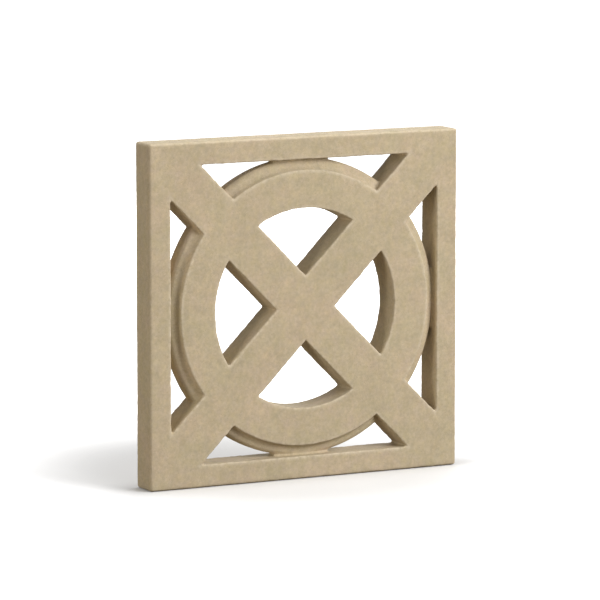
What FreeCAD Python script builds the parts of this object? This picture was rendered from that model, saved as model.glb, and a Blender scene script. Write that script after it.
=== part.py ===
import FreeCAD, Part
import math
import os

# Decorative screen block, cast in one piece: a square frame, two bars that cross from corner to
# corner and a ring round their crossing, all flush on both faces. The ring's outer edge carries a
# moulding on both faces, a cove with a bevel beyond it, and the rim behind runs into the frame.
# X is the width, Y the thickness with the front face at -Y, and Z is up from the bed face.

# Driving dimensions in millimetres
SIDE = 720.0
THICKNESS = 70.0
FRAME_BAR_WIDTH = 49.0
DIAGONAL_BAR_WIDTH = 98.0
RING_FACE_WIDTH = 81.0
COVE_RADIUS = 16.0
RIM_BEVEL = 7.0
RIM_LAP = 2.0
RIM_TIP_RADIUS = 2.5
OUTER_ARRIS_RADIUS = 6.0
OPENING_ARRIS_CHAMFER = 2.0

# Sizes that follow from them, measured from the middle of the block
FRONT = -THICKNESS / 2
MIDDLE_HEIGHT = SIDE / 2
FRAME_INNER_HALF = SIDE / 2 - FRAME_BAR_WIDTH
DIAGONAL_RISE = DIAGONAL_BAR_WIDTH / math.sqrt(2)
RIM_RADIUS = FRAME_INNER_HALF + RIM_LAP
COVE_END_RADIUS = RIM_RADIUS - RIM_BEVEL
RING_FACE_OUTER_RADIUS = COVE_END_RADIUS - COVE_RADIUS
RING_INNER_RADIUS = RING_FACE_OUTER_RADIUS - RING_FACE_WIDTH

DEPTH_AXIS = FreeCAD.Vector(0, 1, 0)
MIDDLE = FreeCAD.Vector(0, 0, MIDDLE_HEIGHT)


def face_point(across, up, depth=FRONT):
    """A point given by its place across and up from the middle of the face."""
    return FreeCAD.Vector(across, depth, MIDDLE_HEIGHT + up)


def straight(start, end):
    return Part.LineSegment(start, end).toShape()


def arc(start, through, end):
    return Part.Arc(start, through, end).toShape()


def through_cut(edges):
    """The outline drawn on the front face, carried straight through to the back."""
    outline = Part.Face(Part.Wire(edges))
    return outline.extrude(DEPTH_AXIS * THICKNESS)


def quarter_turns(shape):
    """The shape on all four sides of the block."""
    turned = []
    for turn in range(4):
        copy = shape.copy()
        copy.rotate(MIDDLE, DEPTH_AXIS, 90 * turn)
        turned.append(copy)
    return turned


def diagonal_crossing(radius):
    """Where a circle round the middle meets the upper edge of the bar that rises to the right."""
    across = (math.sqrt(2 * radius ** 2 - DIAGONAL_RISE ** 2) - DIAGONAL_RISE) / 2
    return across, across + DIAGONAL_RISE


def sector_opening():
    """The opening inside the ring, above the crossing of the bars."""
    across, up = diagonal_crossing(RING_INNER_RADIUS)
    crossing = face_point(0, DIAGONAL_RISE)
    right = face_point(across, up)
    left = face_point(-across, up)
    crown = face_point(0, RING_INNER_RADIUS)
    return through_cut([straight(crossing, right), arc(right, crown, left), straight(left, crossing)])


def rim_tip_centre():
    """Middle of the small round that fits between the rim and the upper bar of the frame."""
    up = FRAME_INNER_HALF - RIM_TIP_RADIUS
    across = math.sqrt((RIM_RADIUS + RIM_TIP_RADIUS) ** 2 - up ** 2)
    return across, up


def corner_opening():
    """The opening between the rim, the upper bar and the bar that rises to the right."""
    tip_across, tip_up = rim_tip_centre()
    tip_angle = math.atan2(tip_up, tip_across)
    rim_across, rim_up = diagonal_crossing(RIM_RADIUS)
    rim_angle = math.atan2(rim_up, rim_across)

    def on_rim(angle):
        return face_point(RIM_RADIUS * math.cos(angle), RIM_RADIUS * math.sin(angle))

    tip_on_frame = face_point(tip_across, FRAME_INNER_HALF)
    corner = face_point(FRAME_INNER_HALF - DIAGONAL_RISE, FRAME_INNER_HALF)
    rim_end = on_rim(rim_angle)
    tip_on_rim = on_rim(tip_angle)
    tip_side = (tip_angle + 3 * math.pi / 2) / 2
    tip_nose = face_point(
        tip_across + RIM_TIP_RADIUS * math.cos(tip_side),
        tip_up + RIM_TIP_RADIUS * math.sin(tip_side),
    )
    return through_cut([
        straight(tip_on_frame, corner),
        straight(corner, rim_end),
        arc(rim_end, on_rim((rim_angle + tip_angle) / 2), tip_on_rim),
        arc(tip_on_rim, tip_nose, tip_on_frame),
    ])


def all_openings():
    """The four sectors inside the ring and the eight corner openings outside it."""
    right = corner_opening()
    left = right.mirror(MIDDLE, FreeCAD.Vector(1, 0, 0))
    openings = []
    for opening in (sector_opening(), right, left):
        openings += quarter_turns(opening)
    return openings


def diagonal_bars():
    """The two crossing bars, longer than the block, as bounds for the moulding."""
    length = SIDE * math.sqrt(2)
    bar = Part.makeBox(length, THICKNESS, DIAGONAL_BAR_WIDTH)
    bar.translate(face_point(-length / 2, -DIAGONAL_BAR_WIDTH / 2))
    bars = []
    for lean in (45, -45):
        leaning = bar.copy()
        leaning.rotate(MIDDLE, DEPTH_AXIS, lean)
        bars.append(leaning)
    return bars


def ring_moulding():
    """What the moulding takes away on the front face, between the ring's face, the bars and the frame."""
    reach = FRAME_INNER_HALF * math.sqrt(2)
    level = FRONT + COVE_RADIUS
    rim_depth = level + RIM_BEVEL
    slant = math.sqrt(0.5)
    lip = face_point(RING_FACE_OUTER_RADIUS, 0)
    in_cove = face_point(COVE_END_RADIUS - COVE_RADIUS * slant, 0, FRONT + COVE_RADIUS * slant)
    cove_end = face_point(COVE_END_RADIUS, 0, level)
    rim = face_point(RIM_RADIUS, 0, rim_depth)
    far_floor = face_point(reach, 0, rim_depth)
    far_face = face_point(reach, 0)
    section = [
        arc(lip, in_cove, cove_end),
        straight(cove_end, rim),
        straight(rim, far_floor),
        straight(far_floor, far_face),
        straight(far_face, lip),
    ]
    turned = Part.Face(Part.Wire(section)).revolve(MIDDLE, DEPTH_AXIS, 360)
    inside_frame = Part.makeBox(2 * FRAME_INNER_HALF, THICKNESS, 2 * FRAME_INNER_HALF)
    inside_frame.translate(face_point(-FRAME_INNER_HALF, -FRAME_INNER_HALF))
    return turned.common(inside_frame).cut(diagonal_bars())


def opening_arrises(block):
    """The edges of the openings on the front and back faces."""
    arrises = []
    for face in block.Faces:
        on_face = all(abs(abs(vertex.Y) - THICKNESS / 2) < 1e-6 for vertex in face.Vertexes)
        if on_face:
            for wire in face.Wires:
                if not wire.isSame(face.OuterWire):
                    arrises += wire.Edges
    return arrises


def screen_block():
    block = Part.makeBox(SIDE, THICKNESS, SIDE)
    block.translate(FreeCAD.Vector(-SIDE / 2, FRONT, 0))
    block = block.makeFillet(OUTER_ARRIS_RADIUS, block.Edges)
    front_moulding = ring_moulding()
    back_moulding = front_moulding.mirror(MIDDLE, DEPTH_AXIS)
    block = block.cut(all_openings() + [front_moulding, back_moulding])
    return block.makeChamfer(OPENING_ARRIS_CHAMFER, opening_arrises(block))


os.makedirs("parts", exist_ok=True)
block = screen_block()
block.exportStep("parts/screen_block.step")
print("screen_block volume litres", round(block.Volume / 1e6, 3))
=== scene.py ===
# %% [markdown]
# # A pierced screen block in cast stone
# The object is one casting: a square frame, two bars that cross from corner to corner and a ring
# round their crossing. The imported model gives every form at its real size, so this lesson is about
# the surface: how a damp mix of sand and cement leaves its mould, how its edges wear and how it
# takes soft light. The model is loaded first, and its box is kept as the limit for all that follows.

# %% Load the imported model
import math

import bmesh
import bpy
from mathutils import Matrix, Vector


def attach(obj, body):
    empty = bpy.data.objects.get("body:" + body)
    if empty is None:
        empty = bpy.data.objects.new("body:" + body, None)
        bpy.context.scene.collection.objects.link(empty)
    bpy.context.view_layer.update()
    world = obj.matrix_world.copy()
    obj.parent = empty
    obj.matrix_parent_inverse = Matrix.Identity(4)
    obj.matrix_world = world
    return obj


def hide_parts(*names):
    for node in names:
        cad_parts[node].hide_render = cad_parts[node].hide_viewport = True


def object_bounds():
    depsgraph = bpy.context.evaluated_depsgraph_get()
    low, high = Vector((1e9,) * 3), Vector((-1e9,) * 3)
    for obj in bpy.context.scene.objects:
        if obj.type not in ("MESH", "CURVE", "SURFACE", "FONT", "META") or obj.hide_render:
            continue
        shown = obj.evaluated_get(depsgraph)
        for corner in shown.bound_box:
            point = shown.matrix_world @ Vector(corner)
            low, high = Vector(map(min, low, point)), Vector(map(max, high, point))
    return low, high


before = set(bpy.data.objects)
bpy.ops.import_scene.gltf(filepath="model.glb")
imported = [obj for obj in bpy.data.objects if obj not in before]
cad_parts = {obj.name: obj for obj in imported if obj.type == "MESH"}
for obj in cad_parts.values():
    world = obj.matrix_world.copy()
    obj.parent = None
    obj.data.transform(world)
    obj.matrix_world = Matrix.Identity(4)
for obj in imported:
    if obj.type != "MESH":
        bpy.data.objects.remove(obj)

cad_low, cad_high = [list(corner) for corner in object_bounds()]
print("block measures", [round(h - l, 4) for l, h in zip(cad_low, cad_high)], "m")

# %% [markdown]
# ## A copy of the casting
# The smooth solid is what the mould maker drew, and the real block differs from it in small ways. The
# block could be modelled afresh, but a copy of the solid has every size right from the start, and the
# solid itself is left alone. The copy's triangles are loose at first, as they come from the file, so
# their doubled corners are merged to make one closed skin.

# %% Copy the casting and close its skin
MERGE_DISTANCE = 0.00001


def only(piece):
    """Make one piece the only selected and active one, ready for an operator."""
    bpy.ops.object.select_all(action="DESELECT")
    piece.select_set(True)
    bpy.context.view_layer.objects.active = piece


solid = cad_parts["screen_block"]
block = bpy.data.objects.new("cast_block", solid.data.copy())
block.data.name = "cast_block"
bpy.context.scene.collection.objects.link(block)
only(block)
bpy.ops.object.mode_set(mode="EDIT")
bpy.ops.mesh.select_all(action="SELECT")
bpy.ops.mesh.remove_doubles(threshold=MERGE_DISTANCE)
bpy.ops.object.mode_set(mode="OBJECT")
print("closed skin of", len(block.data.polygons), "triangles")

# %% [markdown]
# ## Where the arrises run
# An arris is the edge where two faces meet. On a casting it is the weakest place, and it crumbles
# first. The arrises could be picked by hand, but the angle between two faces finds them all: a copy
# of the skin keeps only its sharp edges near the front and back faces, as bare lines. The rim of the
# ring lies deeper and is sheltered. Its lines are kept apart, because it is rounded over and not worn.

# %% Keep the arrises and the rim as lines
SHARP_FROM = math.radians(32)
# Bands of depth below the nearer face, in metres
FACE_BAND = (0.0, 0.004)
RIM_BAND = (0.014, 0.025)


def sharp_lines(name, band):
    """The sharp edges of the skin that lie in a band of depths below the faces, as bare lines."""
    only(block)
    bpy.ops.object.duplicate()
    lines = bpy.context.object
    lines.name = name
    bpy.ops.object.mode_set(mode="EDIT")
    bpy.ops.mesh.select_mode(type="EDGE")
    bpy.ops.mesh.select_all(action="DESELECT")
    bpy.ops.mesh.edges_select_sharp(sharpness=SHARP_FROM)
    for edge in bmesh.from_edit_mesh(lines.data).edges:
        depth = cad_high[1] - abs(edge.verts[0].co.y + edge.verts[1].co.y) / 2
        if not band[0] <= depth <= band[1]:
            edge.select_set(False)
    bpy.ops.mesh.select_all(action="INVERT")
    bpy.ops.mesh.delete(type="EDGE")
    bpy.ops.object.mode_set(mode="OBJECT")
    print(name, "in", len(lines.data.edges), "short edges")
    return lines


rim_lines = sharp_lines("rim_lines", RIM_BAND)
arris_lines = sharp_lines("arris_lines", FACE_BAND)

# %% [markdown]
# The outer edges of the block are rounded in the solid, and a rounded edge is nowhere sharp. A cube of
# the block's own size has its edges where those arrises would be, so it is added to the lines, and
# only its faces are deleted.

# %% Add the edges of the outer box
middle = [(l + h) / 2 for l, h in zip(cad_low, cad_high)]
lengths = [h - l for l, h in zip(cad_low, cad_high)]
only(arris_lines)
bpy.ops.object.mode_set(mode="EDIT")
bpy.ops.mesh.primitive_cube_add(size=1, location=middle, scale=lengths)
bpy.ops.mesh.delete(type="ONLY_FACE")
bpy.ops.object.mode_set(mode="OBJECT")
print("arris_lines with the outer box in", len(arris_lines.data.edges), "edges")

# %% [markdown]
# ## An even net of small faces
# The real skin has dents and waves everywhere, but the solid's triangles are long and thin, and a long
# triangle can't be dented in the middle. Subdividing would only make more thin ones. A voxel remesh
# lays an even net of small squares over the same form instead, and a light smoothing takes away the
# steps that the net leaves along the slanting bars.

# %% Lay an even net over the form
NET_STEP = 0.0018
SMOOTH_FACTOR = 0.5


def finish_with(piece, kind, name, **settings):
    """Add a modifier to the piece, set it up and apply it."""
    modifier = piece.modifiers.new(name, kind)
    for setting, value in settings.items():
        setattr(modifier, setting, value)
    only(piece)
    bpy.ops.object.modifier_apply(modifier=modifier.name)


finish_with(block, "REMESH", "even_net", mode="VOXEL", voxel_size=NET_STEP)
finish_with(block, "SMOOTH", "settled_net", factor=SMOOTH_FACTOR, iterations=1)
print("even net of", len(block.data.polygons), "small faces")

# %% [markdown]
# ## The rolled rim
# The rim of the ring is a bevel in the solid and a soft round on the real block. A bevel operator could
# round it further, but the even net has no clean edge left to bevel. So it is smoothed, and a vertex
# group, which holds a weight for every point, keeps the smoothing to the rim. All points start at full
# weight, and a proximity modifier then lowers the weight with the distance from the lines.

# %% Weigh the points near the rim and roll it
RIM_WIDTH = 0.008
# The sixth of the width next to a line keeps its full weight
PARTS_OF_WIDTH = 6
ROLLING_PASSES = 12


def weigh_near(piece, name, lines, width):
    """A vertex group that is full along the lines and fades to nothing over the width."""
    piece.vertex_groups.new(name=name)
    only(piece)
    bpy.ops.object.mode_set(mode="EDIT")
    bpy.ops.mesh.select_all(action="SELECT")
    bpy.context.scene.tool_settings.vertex_group_weight = 1.0
    bpy.ops.object.vertex_group_assign()
    bpy.ops.object.mode_set(mode="OBJECT")
    finish_with(
        piece, "VERTEX_WEIGHT_PROXIMITY", "distance", vertex_group=name, target=lines,
        proximity_mode="GEOMETRY", proximity_geometry={"EDGE"},
        min_dist=width, max_dist=width / PARTS_OF_WIDTH,
    )
    print("points weighed out to", width * 1000, "mm,", name)


weigh_near(block, "near_rim", rim_lines, RIM_WIDTH)
finish_with(
    block, "SMOOTH", "rolled_rim",
    factor=SMOOTH_FACTOR, iterations=ROLLING_PASSES, vertex_group="near_rim",
)
block.vertex_groups.remove(block.vertex_groups["near_rim"])

# %% [markdown]
# ## How near each point is to an arris
# The same kind of weight, measured from the arrises, serves twice: it steers the crumbling of the edges
# here, and in the finish it lightens the worn edges and paints a highlight along them. It could be
# painted with a brush, but a distance gives every arris the same width. The lines have then done their
# work and are removed.

# %% Weigh the points near the arrises
ARRIS_BAND_WIDTH = 0.006

weigh_near(block, "near_arris", arris_lines, ARRIS_BAND_WIDTH)
for lines in (rim_lines, arris_lines):
    bpy.data.objects.remove(lines)

# %% [markdown]
# ## Waves, sand, crumbs and pits
# The mould is filled by hand and the face is not quite flat, so a slow wave goes over it. Grains of
# sand stand out by a few tenths of a millimetre. Along the arrises small crumbs break away, and here
# and there a bubble of air leaves a pit. All this could be sculpted stroke by stroke, but a pattern
# covers every side and comes out the same each time: clouds of three sizes, and for the pits a small
# bright spot in the middle of each cell.

# %% Draw the patterns of the relief
WAVE_SIZE = 0.16
SAND_SIZE = 0.006
CRUMB_SIZE = 0.014
CRUMB_CONTRAST = 3.2
CRUMB_BRIGHTNESS = 0.72
PIT_SPACING = 0.045
PIT_EDGE = 0.011
WHITE, BLACK = (1, 1, 1), (0, 0, 0)


def noise_pattern(name, size, depth, contrast=1.0, brightness=1.0):
    """A soft cloudy pattern of the given size, in metres, for the modifiers."""
    pattern = bpy.data.textures.new(name, "CLOUDS")
    pattern.noise_scale = size
    pattern.noise_depth = depth
    pattern.contrast = contrast
    pattern.intensity = brightness
    return pattern


wave_pattern = noise_pattern("mould_waves", WAVE_SIZE, depth=1)
sand_pattern = noise_pattern("sand_relief", SAND_SIZE, depth=3)
crumb_pattern = noise_pattern(
    "arris_crumbs", CRUMB_SIZE, depth=2, contrast=CRUMB_CONTRAST, brightness=CRUMB_BRIGHTNESS,
)
pit_pattern = bpy.data.textures.new("air_pits", "VORONOI")
pit_pattern.noise_scale = PIT_SPACING
pit_pattern.use_color_ramp = True
spot_middle, spot_edge = pit_pattern.color_ramp.elements
spot_middle.color = (*WHITE, 1)
spot_edge.color = (*BLACK, 1)
spot_edge.position = PIT_EDGE
print("relief patterns:", ", ".join(pattern.name for pattern in bpy.data.textures))

# %% [markdown]
# A displace modifier now moves each point along its normal by the brightness of a pattern. Every
# displacement goes inwards, and the wave by a little everywhere, so the block never grows past its
# true size. The crumbs come first and are softened, so that sand and pits stay crisp on top of them.

# %% Sink crumbs, waves, sand and pits into the skin
CRUMB_DEPTH = 0.0007
WAVE_DEPTH = 0.0007
LEAST_SHARE = 0.2
SAND_DEPTH = 0.00035
PIT_DEPTH = 0.0022


def sink(piece, name, pattern, depth, group="", least=0.0):
    """Push the skin inwards by up to depth where the pattern is bright, and by a least share of it."""
    finish_with(
        piece, "DISPLACE", name, texture=pattern, texture_coords="LOCAL", direction="NORMAL",
        mid_level=-least, strength=-depth, vertex_group=group,
    )


sink(block, "arris_crumbs", crumb_pattern, CRUMB_DEPTH, "near_arris")
finish_with(
    block, "SMOOTH", "softened_arrises",
    factor=SMOOTH_FACTOR, iterations=1, vertex_group="near_arris",
)
sink(block, "mould_waves", wave_pattern, WAVE_DEPTH, least=LEAST_SHARE)
sink(block, "sand_relief", sand_pattern, SAND_DEPTH)
sink(block, "air_pits", pit_pattern, PIT_DEPTH)
print("relief sunk into", len(block.data.vertices), "points")

# %% [markdown]
# ## A lighter net for the same skin
# The even net has more faces than a library part needs, and a coarser one would lose the pits and the
# edges. Decimation joins faces where the skin is nearly flat and keeps them where it bends, so the
# forms stay and the count comes down. The weights near the arrises are then painted into the skin,
# where the finish can read them.

# %% Bring the number of triangles down
MOST_TRIANGLES = 190000

triangles = sum(len(face.vertices) - 2 for face in block.data.polygons)
finish_with(
    block, "DECIMATE", "lighter_net",
    ratio=MOST_TRIANGLES / triangles, use_collapse_triangulate=True,
)
only(block)
bpy.ops.object.shade_smooth()
# The weights become a colour attribute, which the finish reads for the worn edges and their painted
# highlight.
bpy.ops.object.mode_set(mode="VERTEX_PAINT")
bpy.ops.paint.vertex_color_from_weight()
bpy.ops.object.mode_set(mode="OBJECT")
block.data.color_attributes[0].name = "arris_wear_and_highlight"
print("finished skin of", len(block.data.polygons), "triangles")

# %% [markdown]
# ## The stone finish
# The mix is pale sand, cement and a little ochre, so the colour is a warm beige that is never quite
# even. A picture of stone could be wrapped round the block, but its seams would show in the openings.
# Patterns in space have no seams. They read Object coordinates, so they are fixed to the block.

# %% Start the cast stone material
stone = bpy.data.materials.new("cast_stone")
stone.use_nodes = True
nodes, links = stone.node_tree.nodes, stone.node_tree.links
shader = nodes["Principled BSDF"]
place = nodes.new("ShaderNodeTexCoord")
print("started the cast stone with", len(nodes), "nodes")

# %% [markdown]
# ## Broad patches
# One shovel of sand differs a little from the next, so broad patches of the block lean to pink or to
# grey green. They could be painted on the skin, but a soft noise needs no brush: a colour ramp turns
# its values into three tones of sand, one of them in the middle and the others at its ends.

# %% Lay out the broad patches
SAND = (0.515, 0.425, 0.287)
PINK_SAND = (0.538, 0.433, 0.301)
GREY_SAND = (0.494, 0.416, 0.276)
PATCH_TONES = ((0.34, GREY_SAND), (0.5, SAND), (0.66, PINK_SAND))
PATCHES_PER_METRE = 16


def noise(scale, detail, roughness=0.6):
    """A noise node on the block's own coordinates; scale is in waves to the metre."""
    node = nodes.new("ShaderNodeTexNoise")
    node.inputs["Scale"].default_value = scale
    node.inputs["Detail"].default_value = detail
    node.inputs["Roughness"].default_value = roughness
    links.new(place.outputs["Object"], node.inputs["Vector"])
    return node.outputs["Fac"]


def ramp(value, *stops):
    """A colour ramp over the value; each stop is a position and a colour."""
    node = nodes.new("ShaderNodeValToRGB")
    elements = node.color_ramp.elements
    while len(elements) < len(stops):
        elements.new(position=0.5)
    for element, (position, colour) in zip(elements, stops):
        element.position = position
        element.color = (*colour, 1.0)
    links.new(value, node.inputs["Fac"])
    return node.outputs["Color"]


colour = ramp(noise(PATCHES_PER_METRE, detail=3), *PATCH_TONES)
print("patches of about", round(1000 / PATCHES_PER_METRE), "mm in", len(PATCH_TONES), "tones")

# %% [markdown]
# ## Finer mottling
# Sand and cement never mix quite evenly either. The widest spots are as wide as a hand, and inside
# them are smaller ones, down to the single grain. One noise with much detail could hold all sizes, but
# a noise for each lets every size be as strong as it is on the stone. Each of them multiplies the
# colour by a little more or less than one, and the first one tints it from ochre to cement.

# %% Mottle the sand
OCHRE_TINT = (1.01, 1.004, 0.955)
CEMENT_TINT = (0.99, 0.996, 1.045)
TINTS_PER_METRE = 62
# Spots to the metre, the share by which they are lighter or darker, and the detail of their edges
MOTTLING = (
    (9, 0.03, 2), (40, 0.05, 2), (95, 0.055, 2),
    (190, 0.04, 2), (430, 0.02, 3), (1200, 0.11, 2),
)
LOW_STOP, HIGH_STOP = 0.3, 0.7


def blend(kind, amount, first, second, tree=stone.node_tree):
    """Blend two colours; the amount is a number or a mask."""
    node = tree.nodes.new("ShaderNodeMix")
    node.data_type = "RGBA"
    node.blend_type = kind
    # A Mix node has sockets for every kind of data, and its colours are found by number
    factor, a, b = node.inputs[0], node.inputs[6], node.inputs[7]
    for socket, value in ((factor, amount), (a, first), (b, second)):
        if isinstance(value, bpy.types.NodeSocket):
            tree.links.new(value, socket)
        else:
            socket.default_value = value
    return node.outputs[2]


def vary(colour, scale, low, high, detail=2):
    """Multiply the colour by a noise between two tints, in spots that number scale to the metre."""
    spots = ramp(noise(scale, detail), (LOW_STOP, low), (HIGH_STOP, high))
    return blend("MULTIPLY", 1.0, colour, spots)


def mottle(colour, scale, swing, detail):
    """Lighten and darken the colour by a share, in spots that number scale to the metre."""
    return vary(colour, scale, (1 - swing,) * 3, (1 + swing,) * 3, detail)


colour = vary(colour, TINTS_PER_METRE, OCHRE_TINT, CEMENT_TINT)
for scale, swing, detail in MOTTLING:
    colour = mottle(colour, scale, swing, detail)
print("mottling from", round(1000 / MOTTLING[0][0]), "mm spots down to single grains")

# %% [markdown]
# ## Dark and pale grains
# Not every grain is the same sand: about one in six is a dark or a pale one. A noise would give ragged
# spots that run together. A Voronoi pattern gives each grain its own cell instead: the cell's colour
# decides what it is, and the distance from the cell's middle gives it its round shape.

# %% Scatter dark and pale grains
DARK_GRAIN = (0.41, 0.325, 0.215, 1)
PALE_GRAIN = (0.6, 0.505, 0.36, 1)
DARK_ABOVE = 0.91
PALE_ABOVE = 0.9
SHARP_STEP = 0.01
GRAINS_PER_METRE = 420
GRAIN_CORE, GRAIN_EDGE = 0.22, 0.4

cells = nodes.new("ShaderNodeTexVoronoi")
cells.inputs["Scale"].default_value = GRAINS_PER_METRE
links.new(place.outputs["Object"], cells.inputs["Vector"])
cell_colour = nodes.new("ShaderNodeSeparateColor")
links.new(cells.outputs["Color"], cell_colour.inputs["Color"])
round_grain = ramp(cells.outputs["Distance"], (GRAIN_CORE, WHITE), (GRAIN_EDGE, BLACK))


def grains(channel, above):
    """A mask of the round grains whose cell colour is above a value in one channel."""
    chosen = ramp(cell_colour.outputs[channel], (above, BLACK), (above + SHARP_STEP, WHITE))
    return blend("MULTIPLY", 1.0, round_grain, chosen)


dark_ones = grains("Red", DARK_ABOVE)
pale_ones = grains("Green", PALE_ABOVE)
colour = blend("MIX", dark_ones, colour, DARK_GRAIN)
colour = blend("MIX", pale_ones, colour, PALE_GRAIN)
print("grains of about", round(1000 / GRAINS_PER_METRE, 1), "mm")

# %% [markdown]
# ## Worn arrises and a painted highlight
# Where the arrises are rubbed, the cement skin is gone and paler stone shows. The same pale band also
# stands in for the highlight where light catches the edges, so it is partly a painted highlight, laid
# on every arris alike. The Geometry node's Pointiness could find them, but it changes with the net, and
# the weights painted into the skin are measured in millimetres. A noise breaks the band up, because
# wear is never even.

# %% Lighten the worn arrises and paint their highlight
PALE_STONE_AND_HIGHLIGHT = (0.66, 0.57, 0.43, 1)
WORN_AND_LIT_SPOTS_PER_METRE = 90
WORN_AND_LIT_FROM, WORN_AND_LIT_TO = 0.36, 0.62
MOST_WORN_AND_LIT = (0.75, 0.75, 0.75)

wear_and_highlight = nodes.new("ShaderNodeVertexColor")
wear_and_highlight.layer_name = "arris_wear_and_highlight"
worn_and_lit_spots = ramp(noise(WORN_AND_LIT_SPOTS_PER_METRE, detail=3), (WORN_AND_LIT_FROM, BLACK), (WORN_AND_LIT_TO, MOST_WORN_AND_LIT))
worn_and_lit = blend("MULTIPLY", 1.0, wear_and_highlight.outputs["Color"], worn_and_lit_spots)
# Mix in the pale band: paler worn stone, and a painted highlight along every arris.
colour = blend("MIX", worn_and_lit, colour, PALE_STONE_AND_HIGHLIGHT)
links.new(colour, shader.inputs["Base Color"])
print("arrises paler by up to", MOST_WORN_AND_LIT[0], "of the way to bare stone")

# %% [markdown]
# ## A dry and sandy surface
# Cast stone is dry and dull, on some grains more than on others, so a noise moves the roughness. The
# finest grain can be felt, but it is too small to model, so a bump in the material stands for it. The
# weak sheen is the same all over and is set on the shader itself.

# %% Dry and roughen the surface
LEAST_ROUGH, MOST_ROUGH = 0.78, 1.0
DULL_SPOTS_PER_METRE = 300
DRY_SHEEN = 0.25
BUMPS_PER_METRE = 900
BUMP_ROUGHNESS = 0.7
BUMP_STRENGTH = 0.4
BUMP_HEIGHT = 0.0004

dullness = nodes.new("ShaderNodeMapRange")
dullness.inputs["To Min"].default_value = LEAST_ROUGH
dullness.inputs["To Max"].default_value = MOST_ROUGH
links.new(noise(DULL_SPOTS_PER_METRE, detail=3), dullness.inputs["Value"])
links.new(dullness.outputs["Result"], shader.inputs["Roughness"])
shader.inputs["Specular IOR Level"].default_value = DRY_SHEEN
sandy = nodes.new("ShaderNodeBump")
sandy.inputs["Strength"].default_value = BUMP_STRENGTH
sandy.inputs["Distance"].default_value = BUMP_HEIGHT
links.new(noise(BUMPS_PER_METRE, detail=3, roughness=BUMP_ROUGHNESS), sandy.inputs["Height"])
links.new(sandy.outputs["Normal"], shader.inputs["Normal"])
block.data.materials.clear()
block.data.materials.append(stone)
print("stone finish with", len(nodes), "nodes")

# %% [markdown]
# ## The camera
# The block is seen from its left front and a little from above, through a long lens that keeps its
# edges nearly parallel. The camera could be moved about until the view looks right. Here it is placed
# by numbers: the scale and the place of the face's middle in a picture 600 pixels wide say where it
# has to stand.

# %% Set up the long lens
PICTURE_PIXELS = 600
FOCAL_PIXELS = 4630.0
PIXELS_PER_METRE = 480.6
FACE_MIDDLE_PIXEL = (306.2, 308.1)
TURN_TO_LEFT = math.radians(27.5)
LOOK_DOWN = math.radians(7.9)
SENSOR_MILLIMETRES = 36
FARTHEST_SEEN = 200

face_middle = Vector((0.0, cad_low[1], (cad_low[2] + cad_high[2]) / 2))
camera_distance = FOCAL_PIXELS / PIXELS_PER_METRE
bpy.ops.object.camera_add(rotation=(math.pi / 2 - LOOK_DOWN, 0, -TURN_TO_LEFT))
camera = bpy.context.object
camera.name = "long_lens"
camera.data.sensor_width = SENSOR_MILLIMETRES
camera.data.lens = FOCAL_PIXELS / PICTURE_PIXELS * SENSOR_MILLIMETRES
camera.data.clip_end = FARTHEST_SEEN
in_view = Vector((
    (FACE_MIDDLE_PIXEL[0] - PICTURE_PIXELS / 2) / FOCAL_PIXELS,
    (PICTURE_PIXELS / 2 - FACE_MIDDLE_PIXEL[1]) / FOCAL_PIXELS,
    -1.0,
)) * camera_distance
camera.location = face_middle - camera.rotation_euler.to_matrix() @ in_view
bpy.context.scene.camera = camera
print("camera stands", round(camera_distance, 2), "m away, lens", round(camera.data.lens), "mm")

# %% [markdown]
# ## The studio floor
# A plain floor carries the block and takes its soft shadow. A curved backdrop would do for one view,
# but a plane that goes on far past the picture's edge looks the same from every side.

# %% Lay the floor
FLOOR_SIZE = 120.0
FLOOR_MIDDLE = (0.0, 0.12, 0.0)

bpy.ops.object.select_all(action="DESELECT")
bpy.ops.mesh.primitive_plane_add(size=FLOOR_SIZE, location=FLOOR_MIDDLE)
floor = bpy.context.object
floor.name = "studio_floor"
print("floor of", FLOOR_SIZE, "m")

# %% [markdown]
# ## White paper
# The floor is covered with white paper. So much of it would throw its light back at the block and
# flatten it. Grey paper would not, but it would look grey. The Light Path node tells the two uses
# apart: the camera sees white paper, and for other light the floor is a darker, warm ground.

# %% Cover the floor with paper
PAPER = (0.86, 0.86, 0.86, 1)
WARM_BOUNCE = (0.13, 0.095, 0.05, 1)


def join(tree, kind, first, second):
    """Join two values by a Math node of the given kind."""
    node = tree.nodes.new("ShaderNodeMath")
    node.operation = kind
    tree.links.new(first, node.inputs[0])
    tree.links.new(second, node.inputs[1])
    return node.outputs["Value"]


def seen_rays(tree):
    """1 for the rays that show the background: from the camera, in a gloss and through glass."""
    ray = tree.nodes.new("ShaderNodeLightPath").outputs
    glossy_or_clear = join(tree, "MAXIMUM", ray["Is Glossy Ray"], ray["Is Transmission Ray"])
    return join(tree, "MAXIMUM", ray["Is Camera Ray"], glossy_or_clear)


paper = bpy.data.materials.new("white_paper")
paper.use_nodes = True
floor.data.materials.append(paper)
paper_nodes, paper_links = paper.node_tree.nodes, paper.node_tree.links
sheet = paper_nodes["Principled BSDF"]
sheet.inputs["Roughness"].default_value = 1.0
sheet.inputs["Specular IOR Level"].default_value = 0.0
paper_seen = seen_rays(paper.node_tree)
tone = blend("MIX", paper_seen, WARM_BOUNCE, PAPER, paper.node_tree)
paper_links.new(tone, sheet.inputs["Base Color"])
print("paper of", PAPER[0], "for the camera and", WARM_BOUNCE[0], "for other light")

# %% [markdown]
# ## The glow of the far paper
# Near the block the lamps light the paper. Further off they no longer reach, and it would turn grey.
# More lamps could light it, but they would light the block too. The far paper gets a glow of its own
# instead, which grows with the distance, so it stays white out to the picture's edge. The distance is
# the length of the floor's Object coordinates, so it is counted from the floor's middle, which lies a
# little behind the block, where the shadow falls.

# %% Let the far paper glow
GLOW_FROM, GLOW_TO = 0.3, 0.85

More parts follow.
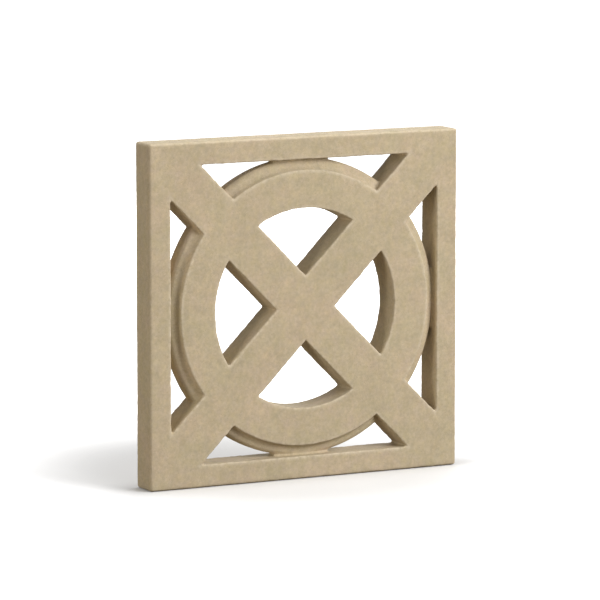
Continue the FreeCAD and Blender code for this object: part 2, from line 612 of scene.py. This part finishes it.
spot = paper_nodes.new("ShaderNodeTexCoord")
reach = paper_nodes.new("ShaderNodeVectorMath")
reach.operation = "LENGTH"
paper_links.new(spot.outputs["Object"], reach.inputs[0])
glow = paper_nodes.new("ShaderNodeMapRange")
glow.interpolation_type = "SMOOTHSTEP"
glow.inputs["From Min"].default_value = GLOW_FROM
glow.inputs["From Max"].default_value = GLOW_TO
paper_links.new(reach.outputs["Value"], glow.inputs["Value"])
seen_glow = join(paper.node_tree, "MULTIPLY", glow.outputs["Result"], paper_seen)
paper_links.new(seen_glow, sheet.inputs["Emission Strength"])
sheet.inputs["Emission Color"].default_value = (*WHITE, 1)
print("paper glows from", GLOW_FROM, "m and in full from", GLOW_TO, "m outwards")

# %% [markdown]
# ## The air of the studio
# The air fills the shadows evenly. A white world at full strength would be the simplest, but it would
# light the block from all sides and flatten it. So the air is white where the camera sees it and
# dimmer as a light, and the block is lit at a plain level against a white ground.

# %% Light the air
AIR_LIGHT = 0.31

air = bpy.data.worlds.new("studio_air")
bpy.context.scene.world = air
air.use_nodes = True
air_nodes, air_links = air.node_tree.nodes, air.node_tree.links
strength = air_nodes.new("ShaderNodeMapRange")
strength.inputs["To Min"].default_value = AIR_LIGHT
strength.inputs["To Max"].default_value = 1.0
air_links.new(seen_rays(air.node_tree), strength.inputs["Value"])
air_links.new(strength.outputs["Result"], air_nodes["Background"].inputs["Strength"])
air_nodes["Background"].inputs["Color"].default_value = (*WHITE, 1)
print("air at", AIR_LIGHT, "as a light and 1.0 as a background")

# %% [markdown]
# ## Four soft lamps
# One sun could light the block, but it would leave every other side dark. Round area lamps make soft
# shadows and fade with the distance, so each gets a task of its own. A wide one on the right, a little
# above the block, models the face and leaves the left side of every form in shade. A weak one far to
# the left lifts the outer side. It shines nearly along the face, so it reaches only the front of each
# opening, and the openings darken towards the back. A third stands behind on the right and lights the
# back face, for a look from the other side. A small one hangs straight above: it lights the top and
# leaves the openings below it in shade.

# %% Hang the lamps
WARM_WHITE = (1, 0.95, 0.84)


def soft_lamp(name, place, width, watts, colour=WHITE):
    """A round soft lamp, turned to the middle of the block's face."""
    bpy.ops.object.light_add(type="AREA", location=place)
    lamp = bpy.context.object
    lamp.name = name
    lamp.data.shape = "DISK"
    lamp.data.size = width
    lamp.data.energy = watts
    lamp.data.color = colour
    lamp.rotation_euler = (face_middle - Vector(place)).to_track_quat("-Z", "Y").to_euler()
    print(name, "of", watts, "W at", place)


soft_lamp("key_lamp", place=(3.6, -4.9, 2.9), width=4.6, watts=430.0)
soft_lamp("side_lamp", place=(-3.8, -1.02, 0.6), width=1.0, watts=39.5, colour=WARM_WHITE)
soft_lamp("back_lamp", place=(2.6, 4.2, 1.6), width=2.4, watts=95.0)
soft_lamp("top_lamp", place=(0, 0, 4.0), width=0.6, watts=54.0)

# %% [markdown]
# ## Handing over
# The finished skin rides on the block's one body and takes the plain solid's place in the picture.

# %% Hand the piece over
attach(block, "root")
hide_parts("screen_block")
bpy.context.scene.view_settings.view_transform = "Standard"
